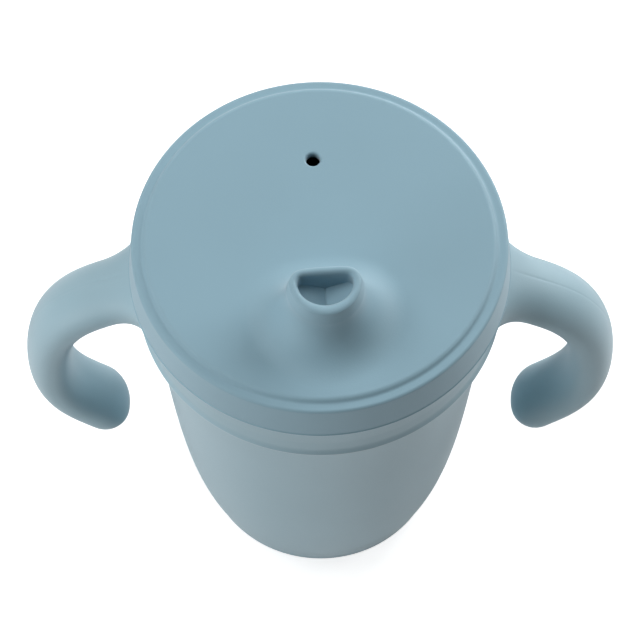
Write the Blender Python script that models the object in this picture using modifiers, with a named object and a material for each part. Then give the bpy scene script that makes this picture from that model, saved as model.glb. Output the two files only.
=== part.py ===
"""Toddler's sippy cup in three pieces: a tapered tumbler, a slip-on ring with two open
hook handles, and a press-on lid with a soft drinking spout.

Metres, +Z up. The origin is at the centre of the foot, the handles lie along X and the
spout points to -Y, turned a few degrees with its lid.
"""

import math

import bmesh
import bpy
from mathutils import Vector
from mathutils.geometry import interpolate_bezier

MM = 0.001
STEPS = 60                        # facets round every turned piece
GAP = 0.35 * MM                   # clearance between pieces that fit together

# tumbler
FOOT_RADIUS = 27.9 * MM           # widest point of the foot's rounding
FOOT_ROUNDING = 2.4 * MM
FOOT_RING_INNER = 22.5 * MM       # the flat ring that it stands on ends here
FOOT_RECESS = 1.2 * MM
SHOULDER_Z = 86.0 * MM            # ledge that carries the handle ring
SHOULDER_RADIUS = 39.0 * MM
NECK_RADIUS = 37.8 * MM
RIM_RADIUS = 38.0 * MM            # low bead that the lid snaps over
RIM_Z = 107.4 * MM
WALL = 2.0 * MM
FLOOR_THICKNESS = 2.6 * MM
INNER_CORNER = 6.0 * MM
SIDE_PULL = 23.0 * MM             # how far each end's lean is felt along the side
SIDE_TOP_LEAN = math.radians(9.4)
SIDE_FOOT_LEAN = math.radians(19.4)

# handle ring
RING_BOTTOM_RADIUS = 40.2 * MM
RING_LIP_RADIUS = 40.85 * MM      # thin lip round the lower edge
RING_LIP_HEIGHT = 2.0 * MM
RING_TOP_RADIUS = 40.7 * MM
RING_HEIGHT = 14.7 * MM
RING_EDGE = 0.6 * MM
HANDLE_HALF_WIDTH = 8.0 * MM      # across the hand, along Y
HANDLE_HALF_THICK = 5.35 * MM
INSIDE_SHARE = 0.92               # the side towards the cup is a little flatter than an ellipse
INSIDE_SQUARE = 0.86
HANDLE_START = (48.0 * MM, 86.3 * MM)   # end of the fillet that joins the hook to its band
HANDLE_REACH = (62.35 * MM, 56.6 * MM)   # where the hook is furthest out, running straight down
HANDLE_TIP = (51.9 * MM, 33.5 * MM)    # the round free end grows from here
HANDLE_DOME = 8.0 * MM
HANDLE_START_SLOPE = math.radians(-32)
HANDLE_TIP_SLOPE = math.radians(-135)
START_PULL = 7.0 * MM             # lengths of the curve's four tangents, start to tip
ABOVE_REACH_PULL = 20.0 * MM
BELOW_REACH_PULL = 13.5 * MM
TIP_PULL = 7.0 * MM
ROOT_HALF_WIDTH = 22.4 * MM       # footprint of the fillet on the band
ROOT_HALF_HEIGHT = 6.1 * MM
ROOT_Z = 92.5 * MM
ROOT_LEAVE = 0.2                  # share of the footprint's half that each line runs inwards
ROOT_ARRIVE = 0.55                # share of its length that each line runs along the hook

# lid
LID_TURN = math.radians(3.9)      # the lid sits a little turned against the handles
LID_TOP_Z = 110.0 * MM            # flat top
TOP_EDGE = 38.6 * MM              # where the flat top ends in a small step
STEP_EDGE = 39.3 * MM             # foot of the step, on the ledge round the lid
STEP_DROP = 0.85 * MM
LEDGE_EDGE = 41.4 * MM
LEDGE_ROUNDING = 0.8 * MM
SKIRT_RADIUS = 42.2 * MM          # just above the lip
SKIRT_LIP_RADIUS = 42.4 * MM      # thin lip round the skirt's lower edge
SKIRT_LIP_HEIGHT = 0.5 * MM
SKIRT_BOTTOM_Z = 99.4 * MM
TOP_THICKNESS = 2.2 * MM
PLUG_WALL = 2.0 * MM              # ring inside the mouth of the tumbler
PLUG_BOTTOM_Z = 101.5 * MM
VENT_RADIUS = 1.6 * MM
VENT_OFFSET = 20.7 * MM

# spout
SPOUT_OFFSET = 18.6 * MM          # lid's axis to the middle of the mouth
SPOUT_HEIGHT = 14.0 * MM          # above the flat top
MOUTH_HALF_WIDTH = 7.65 * MM
MOUTH_BACK = 4.7 * MM             # flat side, towards the lid's axis
MOUTH_FRONT = 6.7 * MM            # round side, towards the drinker
MOUTH_CORNER = 3.4 * MM
FRONT_EXTRA = 0.5                 # the wall is thicker in front by this share
FLARE = 10.5 * MM                 # spread of the spout's foot
FLARE_HEIGHT = 10.5 * MM
NECK_TAPER = 0.8 * MM             # spread of the neck between the flare and the lip
SPOUT_WALL = 1.6 * MM
LIP_ROUNDING = 0.6 * MM
FLAP_DEPTH = 3.7 * MM             # mouth to the outer edges of the two soft flaps
VALLEY_DEPTH = 7.0 * MM           # mouth to the valley where the flaps meet
FLAP_THICKNESS = 1.0 * MM
SLIT = 0.4 * MM
SLIT_MARGIN = 0.6 * MM            # the slit stops short of the spout's wall

BLUE = (0.27, 0.40, 0.47, 1.0)
LID_BLUE = (0.28, 0.42, 0.49, 1.0)


def clear_scene():
    for obj in list(bpy.data.objects):
        bpy.data.objects.remove(obj, do_unlink=True)


def new_collection(name, hidden=False):
    collection = bpy.data.collections.new(name)
    collection.hide_render = hidden
    bpy.context.scene.collection.children.link(collection)
    return collection


def silicone(name, colour, roughness):
    material = bpy.data.materials.new(name)
    material.use_nodes = True
    shader = material.node_tree.nodes["Principled BSDF"]
    shader.inputs["Base Color"].default_value = colour
    shader.inputs["Roughness"].default_value = roughness
    shader.inputs["Metallic"].default_value = 0.0
    return material


def new_object(name, mesh, collection, material=None):
    obj = bpy.data.objects.new(name, mesh)
    collection.objects.link(obj)
    if material:
        mesh.materials.append(material)
    else:
        obj.hide_render = True
        obj.display_type = "WIRE"
    return obj


def arc(centre, radius, start, end, count):
    """Points on a circle in the profile plane, angles in degrees from +X towards +Z."""
    turns = [math.radians(start + (end - start) * i / (count - 1)) for i in range(count)]
    return [(centre[0] + radius * math.cos(a), centre[1] + radius * math.sin(a)) for a in turns]


def turned(name, profile, collection, material=None, closed=False):
    """A profile of (radius, height) points swept round Z by a Screw modifier."""
    mesh = bpy.data.meshes.new(name)
    edges = [(i, i + 1) for i in range(len(profile) - 1)]
    if closed:
        edges.append((len(profile) - 1, 0))
    mesh.from_pydata([(r, 0.0, z) for r, z in profile], edges, [])
    obj = new_object(name, mesh, collection, material)
    screw = obj.modifiers.new("turn", "SCREW")
    screw.steps = STEPS
    screw.render_steps = STEPS
    screw.use_merge_vertices = True
    screw.merge_threshold = 0.00001
    screw.use_smooth_shade = True
    return obj


def cap(body, ring, folded):
    """Closes the end of a loft, with two flat halves where it is folded along X = 0."""
    if not folded:
        body.faces.new(ring)
        return
    back = len(ring) // 4
    front = 3 * back
    body.faces.new(ring[back:front + 1])
    body.faces.new(ring[front:] + ring[:back + 1])


def loft(name, sections, collection, material=None, folded=False):
    """A closed solid through sections of equally many points; the first may be folded."""
    mesh = bpy.data.meshes.new(name)
    body = bmesh.new()
    rings = [[body.verts.new(point) for point in section] for section in sections]
    for lower, upper in zip(rings, rings[1:]):
        for i in range(len(lower)):
            j = (i + 1) % len(lower)
            body.faces.new((lower[i], lower[j], upper[j], upper[i]))
    cap(body, rings[0], folded)
    cap(body, rings[-1], False)
    bmesh.ops.recalc_face_normals(body, faces=body.faces)
    body.to_mesh(mesh)
    body.free()
    mesh.shade_smooth()
    return new_object(name, mesh, collection, material)


def boolean(obj, operation, other):
    modifier = obj.modifiers.new(other.name, "BOOLEAN")
    modifier.operation = operation
    modifier.solver = "EXACT"
    modifier.object = other


def wall_curve():
    """Outside of the tumbler from the shoulder down to the foot, a long shallow S."""
    top = Vector((SHOULDER_RADIUS, SHOULDER_Z))
    bottom = Vector((FOOT_RADIUS, FOOT_ROUNDING))
    top_pull = top - SIDE_PULL * Vector((math.sin(SIDE_TOP_LEAN), math.cos(SIDE_TOP_LEAN)))
    bottom_pull = bottom + SIDE_PULL * Vector((math.sin(SIDE_FOOT_LEAN), math.cos(SIDE_FOOT_LEAN)))
    return [tuple(p) for p in interpolate_bezier(top, top_pull, bottom_pull, bottom, 12)]


def build_tumbler(parts, material):
    outer = wall_curve()
    foot = arc((FOOT_RADIUS - FOOT_ROUNDING, FOOT_ROUNDING), FOOT_ROUNDING, 0, -90, 5)
    inner_neck = NECK_RADIUS - WALL
    floor_z = FOOT_RECESS + FLOOR_THICKNESS
    corner_radius = outer[-2][0] - WALL - INNER_CORNER
    corner = arc((corner_radius, floor_z + INNER_CORNER), INNER_CORNER, -90, 0, 5)
    inner_wall = [(r - WALL, z) for r, z in reversed(outer[1:-2]) if z > corner[-1][1] + WALL]
    profile = [(0.0, floor_z)] + corner + inner_wall
    profile += [(inner_neck, SHOULDER_Z + 2 * MM), (inner_neck, RIM_Z - 0.6 * MM)]
    profile += [(inner_neck + 0.6 * MM, RIM_Z), (RIM_RADIUS - 0.8 * MM, RIM_Z)]
    profile += [(RIM_RADIUS, RIM_Z - 0.9 * MM), (RIM_RADIUS, RIM_Z - 2.4 * MM)]
    profile += [(NECK_RADIUS, RIM_Z - 3.4 * MM), (NECK_RADIUS, SHOULDER_Z)]
    profile += outer + foot[1:]
    profile += [(FOOT_RING_INNER, 0.0), (FOOT_RING_INNER - 1.0 * MM, FOOT_RECESS), (0.0, FOOT_RECESS)]
    return turned("tumbler", profile, parts, material)


def in_profile(pair):
    return Vector((pair[0], 0.0, pair[1]))


def heading(angle):
    return Vector((math.cos(angle), 0.0, math.sin(angle)))


def turns_round(count=20):
    return [2 * math.pi * i / count for i in range(count)]


def signed_power(value, power):
    return math.copysign(abs(value) ** power, value)


def oval(centre, wide, thick):
    """A hook's section: half an ellipse outside, a flatter and squarer half inside."""
    points = []
    for turn in turns_round():
        inside = math.sin(turn) < 0
        square = INSIDE_SQUARE if inside else 1.0
        share = INSIDE_SHARE if inside else 1.0
        across = wide * signed_power(math.cos(turn), square)
        points.append(centre + across + thick * share * signed_power(math.sin(turn), square))
    return points


def footprint(radius, scale=1.0):
    """Boxy oval drawn on a cylinder round Z, where the hook meets its band."""
    points = []
    for turn in turns_round():
        y = scale * ROOT_HALF_WIDTH * math.cos(turn)
        rise = scale * ROOT_HALF_HEIGHT * abs(math.sin(turn)) ** 0.7
        z = ROOT_Z + math.copysign(rise, math.sin(turn))
        points.append(Vector((math.sqrt(radius ** 2 - y * y), y, z)))
    return points


def root_blend(first, along):
    """Sections that sweep from a wide footprint on the band into the hook's first oval.

    Each point leaves the band along its surface and arrives along the hook, which
    makes a fillet all round the root. The end inside the band follows its curve.
    """
    inside = RING_BOTTOM_RADIUS - 1.1 * MM
    sections = [footprint(inside, scale) for scale in (0.25, 0.65, 1.0)]
    routes = []
    for start, end in zip(footprint(RING_BOTTOM_RADIUS - 0.2 * MM), first):
        inward = Vector((start.y * start.y / start.x, -start.y, ROOT_Z - start.z))
        reach = (end - start).length
        routes.append(interpolate_bezier(
            start, start + inward * ROOT_LEAVE, end - along * reach * ROOT_ARRIVE, end, 41))
    sections += [[route[step] for route in routes] for step in (0, 7, 14, 22, 30)]
    return sections


def handle_sections():
    """Oval sections down the hook, with its fillet at the band and a round free end."""
    start, reach, tip = (in_profile(p) for p in (HANDLE_START, HANDLE_REACH, HANDLE_TIP))
    down = Vector((0.0, 0.0, -1.0))
    leave = heading(HANDLE_START_SLOPE)
    arrive = heading(HANDLE_TIP_SLOPE)
    upper = interpolate_bezier(
        start, start + START_PULL * leave, reach - ABOVE_REACH_PULL * down, reach, 9)
    lower = interpolate_bezier(
        reach, reach + BELOW_REACH_PULL * down, tip - TIP_PULL * arrive, tip, 8)
    path = upper + lower[1:]
    across = Vector((0.0, 1.0, 0.0))
    sections = []
    for i, centre in enumerate(path):
        ahead = path[min(i + 1, len(path) - 1)] - path[max(i - 1, 0)]
        along = ahead.normalized()
        if i == 0:
            along = leave
        outward = along.cross(across)
        sections.append(oval(centre, across * HANDLE_HALF_WIDTH, outward * HANDLE_HALF_THICK))
    for turn in (22, 42, 60, 75):
        ease = math.radians(turn)
        centre = path[-1] + along * HANDLE_DOME * math.sin(ease)
        wide = across * HANDLE_HALF_WIDTH * math.cos(ease)
        sections.append(oval(centre, wide, outward * HANDLE_HALF_THICK * math.cos(ease)))
    return root_blend(sections[0], leave) + sections


def build_handle_ring(parts, helpers, material):
    inner = NECK_RADIUS + GAP
    bottom = SHOULDER_Z + GAP
    top = bottom + RING_HEIGHT
    profile = [(inner, top), (RING_TOP_RADIUS - RING_EDGE, top), (RING_TOP_RADIUS, top - RING_EDGE)]
    profile += [(RING_BOTTOM_RADIUS, bottom + RING_LIP_HEIGHT)]
    profile += [(RING_LIP_RADIUS, bottom + RING_LIP_HEIGHT / 6), (RING_LIP_RADIUS, bottom)]
    profile += [(inner, bottom)]
    ring = turned("handle_ring", profile, parts, material, closed=True)
    hooks = loft("hooks", handle_sections(), helpers)
    mirror = hooks.modifiers.new("other_side", "MIRROR")
    mirror.use_axis = (True, False, False)
    mirror.merge_threshold = 0.0001
    boolean(ring, "UNION", hooks)
    return ring


def mouth_outline(grow, count=28):
    """D-shaped outline of the spout round its own middle, grown outwards by an offset."""
    half = MOUTH_HALF_WIDTH - MOUTH_CORNER
    back = MOUTH_BACK - MOUTH_CORNER
    front = MOUTH_FRONT - MOUTH_CORNER + FRONT_EXTRA * min(grow, 0.0)
    reach = MOUTH_CORNER + grow
    points = []
    for i in range(count):
        turn = 2 * math.pi * i / count
        facing = Vector((math.cos(turn), math.sin(turn)))
        # the point of the inner D that faces this way: a bar at the back, half an ellipse in front
        if facing.y > 0:
            core = Vector((half * math.tanh(4 * facing.x), back))
        else:
            scale = math.hypot(half * facing.x, (front + back) * facing.y)
            core = Vector((half * half * facing.x / scale,
                           back + (front + back) ** 2 * facing.y / scale))
        points.append(core + reach * facing)
    return points


def spout_section(grow, z):
    return [Vector((p.x, p.y - SPOUT_OFFSET, z)) for p in mouth_outline(grow)]


def flap_section(z_valley):
    """The inside of the spout, cut along the surface of its two sloping flaps."""
    slope = (VALLEY_DEPTH - FLAP_DEPTH) / (MOUTH_HALF_WIDTH - SPOUT_WALL)
    section = spout_section(-SPOUT_WALL, z_valley)
    return [point + Vector((0.0, 0.0, slope * abs(point.x))) for point in section]


def spout_flare(height):
    """How far the spout's outside stands outside its mouth's outline at a height above the top."""
    if height >= FLARE_HEIGHT:
        return NECK_TAPER * (SPOUT_HEIGHT - height) / (SPOUT_HEIGHT - FLARE_HEIGHT)
    rise = 1.0 - height / FLARE_HEIGHT
    return FLARE - (FLARE - NECK_TAPER) * math.sqrt(1.0 - rise * rise)


def spout_outside(flat):
    top = flat + SPOUT_HEIGHT
    heights = [SPOUT_HEIGHT * i / 10 for i in range(10)]
    sections = [spout_section(FLARE, flat - TOP_THICKNESS / 2)]
    sections += [spout_section(spout_flare(h), flat + h) for h in heights]
    sections += [spout_section(0.0, top - LIP_ROUNDING), spout_section(-LIP_ROUNDING, top)]
    return sections


def throat_inside(valley_z, under, overrun):
    """Straight below the flaps, then widening with the spout down to the lid's underside."""
    straight_z = valley_z - FLAP_THICKNESS - 0.4 * MM
    widest = spout_flare(1.2 * MM) - SPOUT_WALL - 0.4 * MM
    sections = [flap_section(valley_z - FLAP_THICKNESS)]
    for share in (0.0, 0.25, 0.5, 0.75, 1.0):
        eased = share * share * (3 - 2 * share)
        grow = -SPOUT_WALL + (widest + SPOUT_WALL) * eased
        sections.append(spout_section(grow, straight_z + (under - straight_z) * share))
    sections.append(spout_section(widest, under - overrun))
    return sections


def build_lid(parts, helpers, material):
    flat = LID_TOP_Z
    ledge = flat - STEP_DROP
    under = flat - TOP_THICKNESS
    plug_outer = NECK_RADIUS - WALL - GAP
    skirt_inner = RIM_RADIUS + GAP
    ring_cover = RING_TOP_RADIUS + GAP
    cover_z = SHOULDER_Z + GAP + RING_HEIGHT + GAP + 0.25 * MM
    profile = [(0.0, flat), (TOP_EDGE - 0.5 * MM, flat), (TOP_EDGE, flat - 0.12 * MM)]
    profile += [(STEP_EDGE, ledge + 0.08 * MM), (STEP_EDGE + 0.4 * MM, ledge)]
    profile += arc((LEDGE_EDGE - LEDGE_ROUNDING, ledge - LEDGE_ROUNDING), LEDGE_ROUNDING, 90, 0, 4)
    profile += [(SKIRT_RADIUS, SKIRT_BOTTOM_Z + SKIRT_LIP_HEIGHT)]
    profile += [(SKIRT_LIP_RADIUS, SKIRT_BOTTOM_Z + SKIRT_LIP_HEIGHT / 2)]
    profile += [(SKIRT_LIP_RADIUS, SKIRT_BOTTOM_Z), (ring_cover, SKIRT_BOTTOM_Z)]
    profile += [(ring_cover, cover_z), (skirt_inner, cover_z + 0.6 * MM)]
    profile += [(skirt_inner, under), (plug_outer, under), (plug_outer, PLUG_BOTTOM_Z + 1.0 * MM)]
    profile += [(plug_outer - 0.8 * MM, PLUG_BOTTOM_Z), (plug_outer - PLUG_WALL, PLUG_BOTTOM_Z)]
    profile += [(plug_outer - PLUG_WALL, under), (0.0, under)]
    lid = turned("spout_lid", profile, parts, material)

    overrun = 2.0 * MM
    valley_z = flat + SPOUT_HEIGHT - VALLEY_DEPTH
    mouth = [flap_section(valley_z), spout_section(-SPOUT_WALL, flat + SPOUT_HEIGHT + overrun)]
    slit = box("cut_slit", SLIT / 2,
               FRONT_EXTRA * SPOUT_WALL - MOUTH_FRONT + SPOUT_WALL + SLIT_MARGIN - SPOUT_OFFSET,
               MOUTH_BACK - SPOUT_WALL - SLIT_MARGIN - SPOUT_OFFSET,
               valley_z - FLAP_THICKNESS - 1.0 * MM, valley_z + 1.0 * MM, helpers)
    vent = turned("cut_vent", [(0.0, flat + overrun), (VENT_RADIUS, flat + overrun),
                               (VENT_RADIUS, under - overrun), (0.0, under - overrun)], helpers)
    vent.modifiers["turn"].steps = 20
    vent.modifiers["turn"].render_steps = 20
    vent.location = (0.0, VENT_OFFSET, 0.0)

    spout = loft("spout_body", spout_outside(flat), helpers)
    boolean(lid, "UNION", spout)
    cutters = [loft("cut_mouth", mouth, helpers, folded=True),
               loft("cut_throat", throat_inside(valley_z, under, overrun), helpers, folded=True),
               slit, vent]
    for cutter in cutters:
        boolean(lid, "DIFFERENCE", cutter)
    for piece in cutters + [spout]:
        piece.parent = lid
    lid.rotation_euler.z = LID_TURN
    return lid


def box(name, half_x, y_low, y_high, z_low, z_high, collection):
    bpy.ops.mesh.primitive_cube_add(size=1.0)
    obj = bpy.context.active_object
    obj.name = name
    for owner in list(obj.users_collection):
        owner.objects.unlink(obj)
    collection.objects.link(obj)
    obj.hide_render = True
    obj.display_type = "WIRE"
    size = Vector((2 * half_x, y_high - y_low, z_high - z_low))
    middle = Vector((0.0, (y_low + y_high) / 2, (z_low + z_high) / 2))
    for vertex in obj.data.vertices:
        vertex.co = Vector(a * b for a, b in zip(vertex.co, size)) + middle
    return obj


def main():
    clear_scene()
    parts = new_collection("sippy_cup")
    helpers = new_collection("cutters", hidden=True)
    build_tumbler(parts, silicone("tumbler_blue", BLUE, 0.5))
    build_handle_ring(parts, helpers, silicone("handle_blue", BLUE, 0.55))
    build_lid(parts, helpers, silicone("lid_blue", LID_BLUE, 0.6))


main()
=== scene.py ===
import math

import bpy
from mathutils import Matrix, Vector
from mathutils.geometry import delaunay_2d_cdt, interpolate_bezier


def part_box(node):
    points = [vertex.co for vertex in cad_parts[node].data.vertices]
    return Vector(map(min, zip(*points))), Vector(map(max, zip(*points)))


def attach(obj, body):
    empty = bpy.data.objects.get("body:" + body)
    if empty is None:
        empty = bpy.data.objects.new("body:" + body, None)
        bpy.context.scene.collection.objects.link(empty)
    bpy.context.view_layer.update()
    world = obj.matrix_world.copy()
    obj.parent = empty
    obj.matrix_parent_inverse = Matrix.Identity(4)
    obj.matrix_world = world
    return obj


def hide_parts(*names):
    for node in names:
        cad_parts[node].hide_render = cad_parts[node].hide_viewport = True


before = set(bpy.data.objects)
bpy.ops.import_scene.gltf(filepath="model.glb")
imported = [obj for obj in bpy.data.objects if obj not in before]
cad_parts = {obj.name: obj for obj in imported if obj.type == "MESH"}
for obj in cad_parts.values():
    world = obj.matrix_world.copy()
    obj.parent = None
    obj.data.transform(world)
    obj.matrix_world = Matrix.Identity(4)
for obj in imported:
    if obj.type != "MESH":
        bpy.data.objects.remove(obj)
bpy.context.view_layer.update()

mm = 0.001
aroundSteps = 240                  # points round every turned surface
aroundTurns = [2 * math.pi * i / aroundSteps for i in range(aroundSteps)]
print("frame loaded:", ", ".join(sorted(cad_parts)))


# shared by all pieces

def ringAt(radius, z, turns=aroundTurns):
    return [Vector((radius * math.cos(a), radius * math.sin(a), z)) for a in turns]


def roundCorners(corners, arcSteps=6):
    # (radius, height, rounding) corners in mm become a smooth profile in metres
    cornerPull, mostOfRun = 0.56, 0.49
    profile = []
    for i, (r, z, rounding) in enumerate(corners):
        here = Vector((r, z))
        if not rounding or i in (0, len(corners) - 1):
            profile.append(here)
            continue
        back = Vector(corners[i - 1][:2]) - here
        ahead = Vector(corners[i + 1][:2]) - here
        halfTurn = back.angle(ahead) / 2
        reach = min(rounding / math.tan(halfTurn),
                    back.length * mostOfRun, ahead.length * mostOfRun)
        enter = here + back.normalized() * reach
        leave = here + ahead.normalized() * reach
        profile += interpolate_bezier(
            enter, enter.lerp(here, cornerPull), leave.lerp(here, cornerPull), leave, arcSteps)
    return [Vector(p[:2]) * mm for p in profile]


def fillLongRuns(profile, longest=1.6 * mm, margin=0.25 * mm):
    # extra points on straight runs keep the shading of a rounding close to it
    filled = [profile[0]]
    for a, b in zip(profile, profile[1:]):
        run = (b - a).length
        if run > 3 * margin:
            inner = run - 2 * margin
            count = max(1, math.ceil(inner / longest))
            filled += [a.lerp(b, (margin + inner * i / count) / run)
                       for i in range(count + 1)]
        filled.append(b)
    return filled


class Shell:
    # collects loops of points and the skin between them
    def __init__(self):
        self.points = []
        self.faces = []

    def addLoop(self, loop):
        start = len(self.points)
        self.points += loop
        return list(range(start, start + len(loop)))

    def skin(self, loops, closed=True):
        for lower, upper in zip(loops, loops[1:]):
            count = len(lower)
            for i in range(count if closed else count - 1):
                j = (i + 1) % count
                self.faces.append((lower[i], lower[j], upper[j], upper[i]))

    def fan(self, loop, centre, flip=False):
        middle = self.addLoop([centre])[0]
        for i in range(len(loop)):
            j = (i + 1) % len(loop)
            first, second = (j, i) if flip else (i, j)
            self.faces.append((loop[first], loop[second], middle))

    def plate(self, outer, holes, flip=False):
        # flat sheet between one outer loop and the loops of its holes
        loops = [outer] + holes
        index = [i for loop in loops for i in loop]
        flat = [self.points[i].to_2d() for i in index]
        edges = []
        start = 0
        for loop in loops:
            edges += [(start + i, start + (i + 1) % len(loop)) for i in range(len(loop))]
            start += len(loop)
        made = delaunay_2d_cdt(flat, edges, [], 0, 1e-9)
        holeShapes = [[self.points[i].to_2d() for i in hole] for hole in holes]
        for corners in made[2]:
            middle = sum((made[0][c] for c in corners), Vector((0, 0))) / len(corners)
            if any(isInside(middle, shape) for shape in holeShapes):
                continue
            around = [index[made[3][c][0]] for c in corners]
            self.faces.append(tuple(reversed(around)) if flip else tuple(around))


def isInside(point, shape):
    # shapes here are convex and run anticlockwise
    return all((b - a).cross(point - a) > 0 for a, b in zip(shape, shape[1:] + shape[:1]))


def makePiece(name, shell, material, bodyName):
    mesh = bpy.data.meshes.new(name)
    mesh.from_pydata(shell.points, [], shell.faces)
    mesh.validate()
    mesh.shade_smooth()
    mesh.materials.append(material)
    piece = bpy.data.objects.new(name, mesh)
    bpy.context.scene.collection.objects.link(piece)
    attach(piece, bodyName)
    return piece


def appliedMesh(obj):
    # the mesh with its modifiers applied
    bpy.context.view_layer.update()
    graph = bpy.context.evaluated_depsgraph_get()
    return bpy.data.meshes.new_from_object(obj.evaluated_get(graph))


# finishes

def addNoise(tree, coords, scale, detail=3.0):
    noise = tree.nodes.new("ShaderNodeTexNoise")
    noise.inputs["Scale"].default_value = scale
    noise.inputs["Detail"].default_value = detail
    tree.links.new(coords, noise.inputs["Vector"])
    return noise.outputs["Fac"]


def mapTo(tree, value, low, high, fromLow=0.3, fromHigh=0.7):
    mapped = tree.nodes.new("ShaderNodeMapRange")
    mapped.inputs["From Min"].default_value = fromLow
    mapped.inputs["From Max"].default_value = fromHigh
    mapped.inputs["To Min"].default_value = low
    mapped.inputs["To Max"].default_value = high
    tree.links.new(value, mapped.inputs["Value"])
    return mapped.outputs["Result"]


def addMath(tree, operation, first, second):
    node = tree.nodes.new("ShaderNodeMath")
    node.operation = operation
    for socket, value in zip(node.inputs, (first, second)):
        if isinstance(value, float):
            socket.default_value = value
        else:
            tree.links.new(value, socket)
    return node.outputs["Value"]


def addPaintedHighlightMask(tree, coords, low, high, reach):
    # painted highlight mask: one near the thin lower edge of a turned piece, nothing outside its
    # reach from the axis
    split = tree.nodes.new("ShaderNodeSeparateXYZ")
    tree.links.new(coords, split.inputs[0])
    out = addMath(tree, "POWER", split.outputs["X"], 2.0)
    out = addMath(tree, "ADD", out, addMath(tree, "POWER", split.outputs["Y"], 2.0))
    within = addMath(tree, "LESS_THAN", out, (reach * mm) ** 2)
    height = mapTo(tree, split.outputs["Z"], 1.0, 0.0, low * mm, high * mm)
    return addMath(tree, "MULTIPLY", height, within)


def mouldedFinish(name, finish):
    material = bpy.data.materials.new(name)
    material.use_nodes = True
    tree = material.node_tree
    shader = tree.nodes["Principled BSDF"]
    coords = tree.nodes.new("ShaderNodeTexCoord").outputs["Object"]

    clouds = addNoise(tree, coords, finish["cloudScale"])
    grain = addNoise(tree, coords, finish["grainScale"], 2.0)

    tone = tree.nodes.new("ShaderNodeMix")
    tone.data_type = "RGBA"
    for socket, change in ((6, -finish["cloudShade"]), (7, finish["cloudShade"])):
        tone.inputs[socket].default_value = [c * (1 + change) for c in finish["colour"]] + [1]
    tree.links.new(mapTo(tree, clouds, 0.0, 1.0), tone.inputs[0])
    colour = tone.outputs[2]
    # painted highlight: the thin lower edge is mixed towards a pale colour where it would catch
    # light
    if "edge" in finish:
        paintedHighlightMix = tree.nodes.new("ShaderNodeMix")
        paintedHighlightMix.data_type = "RGBA"
        paintedHighlightMix.inputs[7].default_value = paintedEdgeHighlight + (1,)
        tree.links.new(addPaintedHighlightMask(tree, coords, *finish["edge"]), paintedHighlightMix.inputs[0])
        tree.links.new(colour, paintedHighlightMix.inputs[6])
        colour = paintedHighlightMix.outputs[2]

    bump = tree.nodes.new("ShaderNodeBump")
    bump.inputs["Strength"].default_value = finish["grainStrength"]
    bump.inputs["Distance"].default_value = finish["grainDepth"]
    tree.links.new(grain, bump.inputs["Height"])

    tree.links.new(colour, shader.inputs["Base Color"])
    roughness = mapTo(tree, grain, finish["roughness"] - finish["roughnessPlay"],
                      finish["roughness"] + finish["roughnessPlay"])
    tree.links.new(roughness, shader.inputs["Roughness"])
    tree.links.new(bump.outputs["Normal"], shader.inputs["Normal"])
    shader.inputs["IOR"].default_value = finish["ior"]
    shader.inputs["Sheen Weight"].default_value = finish["sheen"]
    shader.inputs["Sheen Roughness"].default_value = 0.5
    return material


paintedEdgeHighlight = (0.62, 0.72, 0.76)      # painted highlight on thin lower edges, standing in for the light those edges catch
cupFinish = dict(colour=(0.306, 0.459, 0.530), cloudScale=28.0, cloudShade=0.02,
                 grainScale=2600.0, grainStrength=0.25, grainDepth=0.00006,
                 roughness=0.52, roughnessPlay=0.04, ior=1.45, sheen=0.3)
# edge: two heights that the painted edge highlight fades out between, and how far out it may
# reach
ringFinish = dict(cupFinish, roughness=0.5, edge=(86.55, 86.75, 41.1))
lidFinish = dict(cupFinish, colour=(0.244, 0.395, 0.475), roughness=0.6, ior=1.41,
                 edge=(99.5, 99.62, 42.6))

cupPlastic = mouldedFinish("cupPlastic", cupFinish)
ringPlastic = mouldedFinish("ringPlastic", ringFinish)
lidSilicone = mouldedFinish("lidSilicone", lidFinish)


# tumbler: one wall turned round the axis

cup = dict(footRadius=27.9, footRounding=2.4, footRingInner=22.5, footRecess=1.2,
           shoulderZ=86.0, shoulderRadius=39.0, neckRadius=37.8, rimRadius=38.0,
           beadHeight=2.6, beadEase=1.0, wall=2.0, floor=2.6,
           innerCorner=6.0, cornerInset=1.6, straightStart=11.0,
           sidePull=23.0, topLean=9.4, footLean=19.4, sideSteps=64)


def cupSide(cup, steps):
    # outside of the wall from the shoulder down to the foot, a long shallow S
    top = Vector((cup["shoulderRadius"], cup["shoulderZ"]))
    bottom = Vector((cup["footRadius"], cup["footRounding"]))
    leave = math.radians(cup["topLean"])
    arrive = math.radians(cup["footLean"])
    topPull = top - cup["sidePull"] * Vector((math.sin(leave), math.cos(leave)))
    bottomPull = bottom + cup["sidePull"] * Vector((math.sin(arrive), math.cos(arrive)))
    return [Vector(p[:2]) for p in interpolate_bezier(top, topPull, bottomPull, bottom, steps)]


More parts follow.
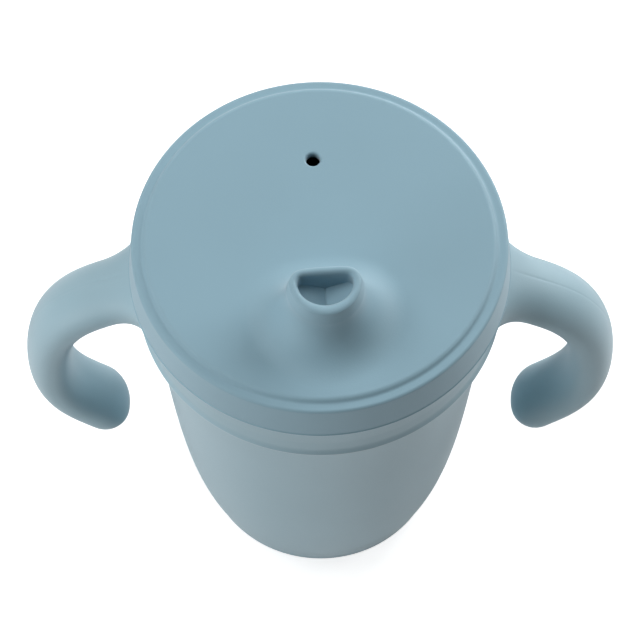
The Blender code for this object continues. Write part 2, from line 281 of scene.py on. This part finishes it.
def makeTumbler(cup):
    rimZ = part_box("tumbler")[1].z / mm
    side = cupSide(cup, cup["sideSteps"])
    neckInner = cup["neckRadius"] - cup["wall"]
    floorZ = cup["footRecess"] + cup["floor"]
    insideWall = [(p.x - cup["wall"], p.y, 0) for p in reversed(side[1:])
                  if p.y > floorZ + cup["straightStart"]]
    cornerRadius = insideWall[0][0] - cup["cornerInset"]
    beadFoot = rimZ - (cup["beadHeight"] + cup["beadEase"])
    corners = [(0.0, floorZ, 0), (cornerRadius, floorZ, cup["innerCorner"])]
    corners += insideWall
    corners += [(neckInner, cup["shoulderZ"] + 2, 1.0), (neckInner, rimZ, 0.7)]
    corners += [(cup["rimRadius"], rimZ, 0.9), (cup["rimRadius"], rimZ - cup["beadHeight"], 0.6)]
    corners += [(cup["neckRadius"], beadFoot, 0.6), (cup["neckRadius"], cup["shoulderZ"], 0.3)]
    corners += [(cup["shoulderRadius"], cup["shoulderZ"], 0.35)]
    corners += [(p.x, p.y, 0) for p in side[1:-1]]
    corners += [(cup["footRadius"] - 0.25, 0.0, cup["footRounding"])]
    corners += [(cup["footRingInner"], 0.0, 0.5)]
    corners += [(cup["footRingInner"] - 1.0, cup["footRecess"], 0.5)]
    corners += [(0.0, cup["footRecess"], 0)]
    profile = fillLongRuns(roundCorners(corners))
    shell = Shell()
    loops = [shell.addLoop(ringAt(p.x, p.y)) for p in profile[1:-1]]
    shell.skin(loops[::-1])
    shell.fan(loops[0], Vector((0, 0, profile[0].y)))
    shell.fan(loops[-1], Vector((0, 0, profile[-1].y)), flip=True)
    piece = makePiece("tumblerShell", shell, cupPlastic, "cup")
    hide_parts("tumbler")
    return piece


tumbler = makeTumbler(cup)
print("tumbler turned:", len(tumbler.data.vertices), "points")


# handle ring: a turned band, and two hooks whose wide roots are joined into it

ring = dict(inner=38.15, bottomRadius=40.2, topRadius=40.7, edge=0.6, belowRim=21.05,
            flareHeight=5.0, flareRadius=40.85, hookHalfWidth=8.0, hookHalfThick=5.35,
            start=(48.0, 86.3), reach=(62.35, 56.6), tip=(51.9, 33.5),
            startSlope=-32, tipSlope=-135,
            startPull=7.0, aboveReachPull=20.0, belowReachPull=13.5, tipPull=7.0,
            insideSquare=0.86, insideShare=0.92, domeLength=8.0,
            rootHalfWidth=22.4, rootHalfHeight=6.1, rootZ=92.5, rootSquare=0.7,
            rootSunk=0.15, rootBuried=0.9, rootLeave=0.2, rootArrive=0.55, rootReach=41.0,
            seamDepth=0.035, seamHalf=1.0)

# angles round a hook: even steps, and two more beside the mould seam along its back
hookTurns = [math.radians(5 * i) for i in range(72)]
hookTurns[18:19] = [math.radians(90 + ring["seamHalf"] * i) for i in (-1, 0, 1)]
seamPoint = 19
rootSteps = 40


def inProfile(pair):
    return Vector((pair[0], 0, pair[1])) * mm


def heading(angle):
    return Vector((math.cos(math.radians(angle)), 0, math.sin(math.radians(angle))))


def rootFootprint(ring, radius, scale=1.0):
    # boxy oval drawn on the band, where the hook grows out of it
    points = []
    for turn in hookTurns:
        y = scale * ring["rootHalfWidth"] * math.cos(turn)
        rise = scale * ring["rootHalfHeight"] * abs(math.sin(turn)) ** ring["rootSquare"]
        z = ring["rootZ"] + math.copysign(rise, math.sin(turn))
        points.append(Vector((math.sqrt(radius ** 2 - y * y), y, z)) * mm)
    return points


def hookSections(ring):
    start, reach, tip = (inProfile(ring[key]) for key in ("start", "reach", "tip"))
    down = Vector((0, 0, -1))
    across = Vector((0, 1, 0))
    leave = heading(ring["startSlope"])
    arrive = heading(ring["tipSlope"])
    halfWidth = ring["hookHalfWidth"] * mm
    halfThick = ring["hookHalfThick"] * mm
    upper = interpolate_bezier(
        start, start + ring["startPull"] * mm * leave,
        reach - ring["aboveReachPull"] * mm * down, reach, 60)
    lower = interpolate_bezier(
        reach, reach + ring["belowReachPull"] * mm * down,
        tip - ring["tipPull"] * mm * arrive, tip, 50)
    path = upper + lower[1:]

    def oval(centre, outward, wide, thick, seam):
        loop = []
        for a in hookTurns:
            inside = math.sin(a) < 0
            square = ring["insideSquare"] if inside else 1
            y = math.copysign(abs(math.cos(a)) ** square, math.cos(a))
            rise = math.copysign(abs(math.sin(a)) ** square, math.sin(a))
            rise *= ring["insideShare"] if inside else 1
            loop.append(centre + across * wide * y + outward * thick * rise)
        loop[seamPoint] -= outward * seam * mm
        return loop

    seam = ring["seamDepth"]
    sections = []
    for i, centre in enumerate(path):
        along = (path[min(i + 1, len(path) - 1)] - path[max(i - 1, 0)]).normalized()
        if i == 0:
            along = leave
        outward = along.cross(across)
        sections.append(oval(centre, outward, halfWidth, halfThick, seam))
    for ease in range(6, 90, 6):   # the free end closes in a soft dome
        turn = math.radians(ease)
        shrink = math.cos(turn)
        centre = tip + along * ring["domeLength"] * mm * math.sin(turn)
        sections.append(oval(
            centre, outward, halfWidth * shrink, halfThick * shrink, seam * shrink))

    surface = ring["bottomRadius"] - ring["rootSunk"]
    routes = []
    for foot, end in zip(rootFootprint(ring, surface), sections[0]):
        inward = Vector((foot.y * foot.y / foot.x, -foot.y, ring["rootZ"] * mm - foot.z))
        reachOut = (end - foot).length
        routes.append(interpolate_bezier(
            foot, foot + inward * ring["rootLeave"],
            end - leave * reachOut * ring["rootArrive"], end, rootSteps + 1))
    root = [rootFootprint(ring, surface - ring["rootBuried"], scale)
            for scale in (0.25, 0.65, 1.0)]
    farSide = len(hookTurns) // 2
    for step in range(rootSteps):
        section = [route[step] for route in routes]
        middle = section[0].lerp(section[farSide], 0.5)
        fade = max(0, 2 * step / rootSteps - 1)    # the seam starts half way along the root
        section[seamPoint] -= (section[seamPoint] - middle).normalized() * seam * mm * fade
        root.append(section)
    return root + sections


def makeHandleRing(ring):
    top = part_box("handle_ring")[1].z / mm
    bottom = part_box("tumbler")[1].z / mm - ring["belowRim"]
    flareTop = bottom + ring["flareHeight"]
    corners = [(ring["inner"], top, 0.3), (ring["inner"], bottom, 0.3)]
    corners += [(ring["flareRadius"] - 0.1, bottom, 0.2)]
    corners += [(ring["flareRadius"], bottom + 0.22, 0.12)]
    corners += [(ring["bottomRadius"] + 0.05, bottom + 1.4, 5.0)]
    corners += [(ring["bottomRadius"], flareTop, 0)]
    corners += [(ring["topRadius"], top, ring["edge"]), (ring["inner"], top, 0.3)]
    corners += [(ring["inner"], bottom, 0)]
    profile = fillLongRuns(roundCorners(corners)[1:-1])[:-1]
    band = Shell()
    loops = [band.addLoop(ringAt(p.x, p.y)) for p in profile]
    band.skin(loops + loops[:1])
    piece = makePiece("handleRing", band, ringPlastic, "handles")

    hooks = Shell()
    lowest = (bottom + 0.3) * mm       # the buried part of a root stays above the band's edge
    rootReach = ring["rootReach"] * mm
    for side in (1, -1):
        hook = [[Vector((side * p.x, p.y, max(p.z, lowest) if p.x < rootReach else p.z))
                 for p in section] for section in hookSections(ring)]
        loops = [hooks.addLoop(section[::side]) for section in hook]
        hooks.skin(loops)
        hooks.fan(loops[0], sum(hook[0], Vector()) / len(hook[0]), flip=True)
        hooks.fan(loops[-1], sum(hook[-1], Vector()) / len(hook[-1]))
    other = makePiece("hooks", hooks, ringPlastic, "handles")
    join = piece.modifiers.new("growHooks", "BOOLEAN")
    join.operation = "UNION"
    join.solver = "EXACT"
    join.object = other
    applied = appliedMesh(piece)
    piece.modifiers.clear()
    piece.data = applied
    applied.name = "handleRing"
    bpy.data.objects.remove(other)
    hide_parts("handle_ring")
    return piece


handleRing = makeHandleRing(ring)
print("handle ring joined:", len(handleRing.data.vertices), "points")


# lid: turned edge, flat top with its vent, and the spout drawn up out of it

lid = dict(turn=3.9, topEdge=38.6, stepDrop=0.85, stepEdge=39.3, ledgeEdge=41.4,
           topThickness=2.2, skirtRadius=42.2, skirtBottomZ=99.4, lipRadius=42.4, lipHeight=0.5,
           ringCover=41.05, coverZ=101.65, rimCover=38.35,
           plugOuter=35.45, plugWall=2.0, plugBottomZ=101.5,
           ventRadius=1.6, ventEase=0.55, ventOffset=20.7)
spout = dict(offset=18.6, height=14.0, halfWidth=7.65, back=4.7, front=6.7,
             corner=3.4, frontExtra=0.5, flare=10.5, flareHeight=10.5, taper=0.8,
             wall=1.6, lipRise=0.9, lipPeak=0.42, lipOverhang=0.2, lipFall=1.2,
             flapDepth=3.7, valleyDepth=7.0, flapThickness=1.0)


def mouthOutline(spout, grow, z, turns=aroundTurns):
    # D-shaped outline round the mouth's own middle, grown outwards, all in mm
    half = spout["halfWidth"] - spout["corner"]
    back = spout["back"] - spout["corner"]
    deep = spout["front"] - spout["corner"] + back + spout["frontExtra"] * min(grow, 0)
    points = []
    for turn in turns:
        fx, fy = math.cos(turn), math.sin(turn)
        if fy > 0:                 # flat side, towards the lid's middle
            x, y = half * math.tanh(4 * fx), back
        else:                      # half an ellipse, towards the drinker
            scale = math.hypot(half * fx, deep * fy)
            x, y = half * half * fx / scale, back + deep * deep * fy / scale
        reach = spout["corner"] + grow
        points.append(Vector((x + reach * fx, y + reach * fy - spout["offset"], z)) * mm)
    return points


def spoutFlare(spout, height):
    # how far the outside stands out from the mouth's outline at a height above the lid
    if height >= spout["flareHeight"]:
        left = (spout["height"] - height) / (spout["height"] - spout["flareHeight"])
        return spout["taper"] * left
    rise = 1 - height / spout["flareHeight"]
    return spout["flare"] - (spout["flare"] - spout["taper"]) * math.sqrt(1 - rise * rise)


def lidEdgeProfile(lid, flat, under):
    # out over a small step and ledge, down the skirt, then back up inside it
    bottom = lid["skirtBottomZ"]
    plugInner = lid["plugOuter"] - lid["plugWall"]
    corners = [(lid["topEdge"] - 1.6, flat, 0), (lid["topEdge"], flat, 1.2)]
    corners += [(lid["stepEdge"], flat - lid["stepDrop"], 0.7)]
    corners += [(lid["ledgeEdge"], flat - lid["stepDrop"] - 0.05, 0.7)]
    corners += [(lid["skirtRadius"], bottom + lid["lipHeight"], 0.05)]
    corners += [(lid["lipRadius"], bottom + 0.3, 0.1), (lid["lipRadius"], bottom, 0.12)]
    corners += [(lid["ringCover"], bottom, 0.2), (lid["ringCover"], lid["coverZ"], 0.3)]
    corners += [(lid["rimCover"], lid["coverZ"] + 0.6, 0.4), (lid["rimCover"], under, 0.4)]
    corners += [(lid["plugOuter"], under, 0.4), (lid["plugOuter"], lid["plugBottomZ"], 0.8)]
    corners += [(plugInner, lid["plugBottomZ"], 0.5), (plugInner, under, 0.5)]
    corners += [(plugInner - 1.2, under, 0)]
    return fillLongRuns(roundCorners(corners))


def spoutOutside(spout, flat):
    # from the foot on the lid up to the lip
    rowsUp, crowding = 45, 1.6          # rows sit closer together near the foot
    loops = []
    for i in range(rowsUp + 1):
        height = (spout["height"] - spout["lipRise"]) * (i / rowsUp) ** crowding
        loops.append((spoutFlare(spout, height), flat + height))
    return loops


def spoutLip(spout, top):
    # soft lip: tight outside, fuller towards the opening
    peak = -spout["lipPeak"] * spout["wall"]
    outwards = spout["lipOverhang"] - peak
    inwards = -spout["wall"] - peak
    rise = spout["lipRise"]
    fall = rise * spout["lipFall"]
    loops = []
    for step in range(1, 8):
        turn = math.radians(90 * step / 8)
        loops.append((peak + outwards * math.cos(turn), top - rise * (1 - math.sin(turn))))
    for step in range(9):
        turn = math.radians(90 * step / 8)
        loops.append((peak + inwards * math.sin(turn), top - fall * (1 - math.cos(turn))))
    return loops


def spoutInside(spout, flat, top, under):
    # straight down past the flaps, then widening to the underside
    inner = -spout["wall"]
    start = top - spout["lipFall"] * spout["lipRise"]
    end = top - spout["valleyDepth"] - spout["flapThickness"] - 0.4
    loops = [(inner, start + (end - start) * step / 16) for step in range(1, 17)]
    widest = spoutFlare(spout, 1.2) - spout["wall"] - 0.4
    low = under + 0.5
    for step in range(1, 11):
        share = step / 10
        eased = share * share * (3 - 2 * share)
        loops.append((inner + (widest - inner) * eased, end + (low - end) * share))
    return loops + [(widest + 0.1, under + 0.15), (widest + 0.4, under)]


def makeLid(lid, spout):
    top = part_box("spout_lid")[1].z / mm
    flat = top - spout["height"]
    under = flat - lid["topThickness"]
    shell = Shell()
    edgeLoops = [shell.addLoop(ringAt(p.x, p.y)) for p in lidEdgeProfile(lid, flat, under)]
    shell.skin(edgeLoops[::-1])

    rows = [(spout["flare"] + 0.3, flat)] + spoutOutside(spout, flat)
    rows += spoutLip(spout, top) + spoutInside(spout, flat, top, under)
    rows.append((rows[-1][0] + 0.3, under))
    spoutLoops = [shell.addLoop(mouthOutline(spout, grow, z)) for grow, z in rows]
    shell.skin(spoutLoops)

    ventTurns = [2 * math.pi * i / 48 for i in range(48)]
    ventRadius, ease = lid["ventRadius"], lid["ventEase"]
    ventRows = [(ventRadius + ease + 0.15, flat)]
    for step in range(7):
        turn = math.radians(15 * step)
        out, drop = ease * (1 - math.sin(turn)), ease * (1 - math.cos(turn))
        ventRows.append((ventRadius + out, flat - drop))
    ventRows += [(ventRadius, flat - 1.1), (ventRadius, under + 0.3), (ventRadius + 0.25, under)]
    toVent = Vector((0, lid["ventOffset"] * mm, 0))
    ventLoops = []
    for radius, z in ventRows:
        loop = ringAt(radius * mm, z * mm, ventTurns)
        ventLoops.append(shell.addLoop([p + toVent for p in loop]))
    shell.skin(ventLoops)

    shell.plate(edgeLoops[0], [spoutLoops[0], ventLoops[0]])
    shell.plate(edgeLoops[-1], [spoutLoops[-1], ventLoops[-1]], flip=True)
    turned = Matrix.Rotation(math.radians(lid["turn"]), 4, "Z")
    shell.points = [turned @ p for p in shell.points]
    piece = makePiece("spoutLid", shell, lidSilicone, "lid")
    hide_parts("spout_lid")
    return piece


spoutLid = makeLid(lid, spout)
print("lid built:", len(spoutLid.data.vertices), "points")


# the two soft flaps inside the spout, with a slit between them

flaps = dict(slit=0.02, embed=0.3, reach=0.99, columns=30, rows=24)


def edgeAt(outline, x):
    # y of a run of outline points at an x across the mouth
    for a, b in zip(outline, outline[1:]):
        low, high = sorted((a.x, b.x))
        if low <= x <= high and high > low:
            return a.y + (b.y - a.y) * (x - a.x) / (b.x - a.x)


def makeFlaps(flaps, spout, lid):
    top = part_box("spout_lid")[1].z
    grow = flaps["embed"] - spout["wall"]
    half = (spout["halfWidth"] + grow) * mm
    halfTurns = [math.pi * i / 400 for i in range(401)]
    backEdge = mouthOutline(spout, grow, 0, halfTurns)
    frontEdge = mouthOutline(spout, grow, 0, [math.pi + a for a in halfTurns])
    shell = Shell()
    for side in (1, -1):
        layers = []
        for thick in (0, spout["flapThickness"] * mm):
            columns = []
            for c in range(flaps["columns"] + 1):
                across = c / flaps["columns"]
                x = flaps["slit"] / 2 * mm * (1 - across) + half * flaps["reach"] * across
                back, front = edgeAt(backEdge, x), edgeAt(frontEdge, x)
                slope = (spout["valleyDepth"] - spout["flapDepth"]) * mm
                z = top - spout["valleyDepth"] * mm + slope * x / half - thick
                steps = [r / flaps["rows"] for r in range(flaps["rows"] + 1)]
                columns.append([Vector((side * x, back + (front - back) * t, z)) for t in steps])
            layers.append([shell.addLoop(column[::side]) for column in columns])
        upper, lower = layers
        shell.skin(upper[::-1], closed=False)
        shell.skin(lower, closed=False)
        rims = [[c[0] for c in layer] + layer[-1][1:] + [c[-1] for c in layer[-2::-1]]
                + layer[0][-2:0:-1] for layer in layers]
        shell.skin(rims)
    turned = Matrix.Rotation(math.radians(lid["turn"]), 4, "Z")
    shell.points = [turned @ p for p in shell.points]
    return makePiece("spoutFlaps", shell, lidSilicone, "lid")


spoutFlaps = makeFlaps(flaps, spout, lid)
print("flaps built")


# floor, lights and camera

# floorGlow is what the floor gives off as light, floorSeen is how bright it looks
studio = dict(floorSize=6.0, floorShade=0.6, floorGlow=0.206, floorSeen=0.75, worldGlow=0.0,
              lampMiddle=0.08, lampDistance=0.9, lampSize=0.6)
# each lamp: bearing from the front towards the right, height angle, watts
softBoxes = dict(rightKey=(120, 32, 4.3), rightRim=(150, 15, 4.2), leftHigh=(262, 60, 4.0),
                 leftRim=(240, 35, 1.3), frontLeftFill=(300, 8, 3.5),
                 rightHigh=(90, 60, 0.6), frontRightFill=(30, 8, 0.3))
view = dict(target=(0, 0, 72.5), distance=850, elevation=62.5, lens=209.8, roll=-0.25)


def makeFloor(studio):
    half = studio["floorSize"] / 2
    mesh = bpy.data.meshes.new("floor")
    corners = [(-half, -half, 0), (half, -half, 0), (half, half, 0), (-half, half, 0)]
    mesh.from_pydata(corners, [], [(0, 1, 2, 3)])
    material = bpy.data.materials.new("paleFloor")
    material.use_nodes = True
    tree = material.node_tree
    shader = tree.nodes["Principled BSDF"]
    shade = studio["floorShade"]
    shader.inputs["Base Color"].default_value = (shade, shade, shade, 1)
    shader.inputs["Roughness"].default_value = 0.9
    shader.inputs["Specular IOR Level"].default_value = 0.1
    shader.inputs["Emission Color"].default_value = (1, 1, 1, 1)
    rays = tree.nodes.new("ShaderNodeLightPath")
    glow = tree.nodes.new("ShaderNodeMapRange")
    glow.inputs["To Min"].default_value = studio["floorGlow"]
    glow.inputs["To Max"].default_value = studio["floorSeen"]
    tree.links.new(rays.outputs["Is Camera Ray"], glow.inputs["Value"])
    tree.links.new(glow.outputs["Result"], shader.inputs["Emission Strength"])
    mesh.materials.append(material)
    floor = bpy.data.objects.new("floor", mesh)
    bpy.context.scene.collection.objects.link(floor)


def makeLights(studio, softBoxes):
    world = bpy.data.worlds.new("paleRoom")
    bpy.context.scene.world = world
    world.use_nodes = True
    background = world.node_tree.nodes["Background"]
    background.inputs["Color"].default_value = (1, 1, 1, 1)
    background.inputs["Strength"].default_value = studio["worldGlow"]
    middle = Vector((0, 0, studio["lampMiddle"]))
    for name, (bearing, height, watts) in softBoxes.items():
        turn, rise = math.radians(bearing), math.radians(height)
        toLamp = Vector((math.sin(turn) * math.cos(rise), -math.cos(turn) * math.cos(rise),
                         math.sin(rise)))
        lamp = bpy.data.lights.new(name, "AREA")
        lamp.shape = "DISK"
        lamp.size = studio["lampSize"]
        lamp.energy = watts
        holder = bpy.data.objects.new(lamp.name, lamp)
        holder.location = middle + toLamp * studio["lampDistance"]
        holder.rotation_euler = (-toLamp).to_track_quat("-Z", "Y").to_euler()
        holder.visible_camera = False
        bpy.context.scene.collection.objects.link(holder)


def makeCamera(view):
    target = Vector(view["target"]) * mm
    rise = math.radians(view["elevation"])
    back = Vector((0, -math.cos(rise), math.sin(rise)))
    data = bpy.data.cameras.new("camera")
    data.lens = view["lens"]
    data.sensor_width = 36
    data.clip_start = 0.05
    data.clip_end = 20
    camera = bpy.data.objects.new("camera", data)
    camera.location = target + back * view["distance"] * mm
    camera.rotation_mode = "QUATERNION"
    aim = (-back).to_track_quat("-Z", "Y").to_matrix().to_4x4()
    spin = Matrix.Rotation(math.radians(view["roll"]), 4, "Z")
    camera.rotation_quaternion = (aim @ spin).to_quaternion()
    bpy.context.scene.collection.objects.link(camera)
    bpy.context.scene.camera = camera


makeFloor(studio)
makeLights(studio, softBoxes)
makeCamera(view)
bpy.context.scene.view_settings.view_transform = "Standard"
print("studio set")
